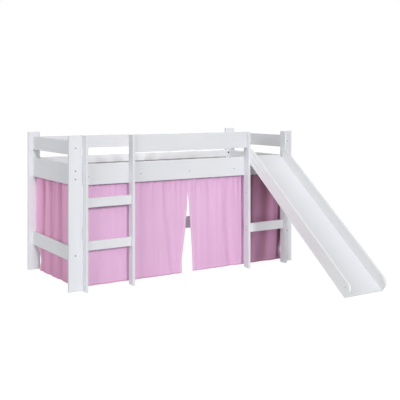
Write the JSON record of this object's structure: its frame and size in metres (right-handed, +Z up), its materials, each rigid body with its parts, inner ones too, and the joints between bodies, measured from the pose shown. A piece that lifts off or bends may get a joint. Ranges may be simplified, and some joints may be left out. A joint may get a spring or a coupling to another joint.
{
  "type": "loft bed with slide",
  "caption": "Half-height loft bed of white boards with a front ladder, guard boards, slatted base, straight slide and gathered curtains under the bed.",
  "frame": {"origin": "middle of the floor area that the bed and its slide cover, on the floor", "axes": "+X along the bed from the ladder end to the slide end, +Y from the slide's toe to the back of the bed, +Z up"},
  "size_m": [2.05, 2.087, 1.122],
  "materials": {
    "white_lacquer": "satin white lacquer on boards",
    "slide_lacquer": "smooth semi-gloss white lacquer",
    "bare_pine": "planed bare pine",
    "pink_cotton": "plain woven cotton, matt",
    "bolt_steel": "zinc-plated bolt and screw heads"
  },
  "bodies": {
    "root": {"post_front_left": "white_lacquer", "post_front_right": "white_lacquer", "post_back_left": "white_lacquer", "post_back_right": "white_lacquer", "end_guard_left": "white_lacquer", "end_guard_right": "white_lacquer", "end_rail_left": "white_lacquer", "end_rail_right": "white_lacquer", "end_low_board_left": "white_lacquer", "end_low_board_right": "white_lacquer", "bed_rail_front": "white_lacquer", "bed_rail_back": "white_lacquer", "back_guard": "white_lacquer", "back_low_board": "white_lacquer", "ladder_stile_left": "white_lacquer", "ladder_stile_right": "white_lacquer", "slide_stile_left": "white_lacquer", "slide_stile_right": "white_lacquer", "ladder_rung_1": "white_lacquer", "ladder_rung_2": "white_lacquer", "slide_crossbar": "white_lacquer", "front_guard": "white_lacquer", "slat_cleat_front": "bare_pine", "slat_cleat_back": "bare_pine", "slat_01": "bare_pine", "slat_02": "bare_pine", "slat_03": "bare_pine", "slat_04": "bare_pine", "slat_05": "bare_pine", "slat_06": "bare_pine", "slat_07": "bare_pine", "slat_08": "bare_pine", "slat_09": "bare_pine", "slat_10": "bare_pine", "slat_11": "bare_pine", "slat_12": "bare_pine", "slat_13": "bare_pine", "slat_14": "bare_pine", "slide_flank_left": "slide_lacquer", "slide_flank_right": "slide_lacquer", "slide_chute": "slide_lacquer", "slide_batten_1": "slide_lacquer", "slide_batten_2": "slide_lacquer", "slide_batten_3": "slide_lacquer", "curtain_strip_front": "white_lacquer", "curtain_strip_left": "white_lacquer", "curtain_strip_right": "white_lacquer", "curtain_front_left": "pink_cotton", "curtain_front_right": "pink_cotton", "curtain_end_left": "pink_cotton", "curtain_end_right": "pink_cotton"}
  },
  "joints": []
}
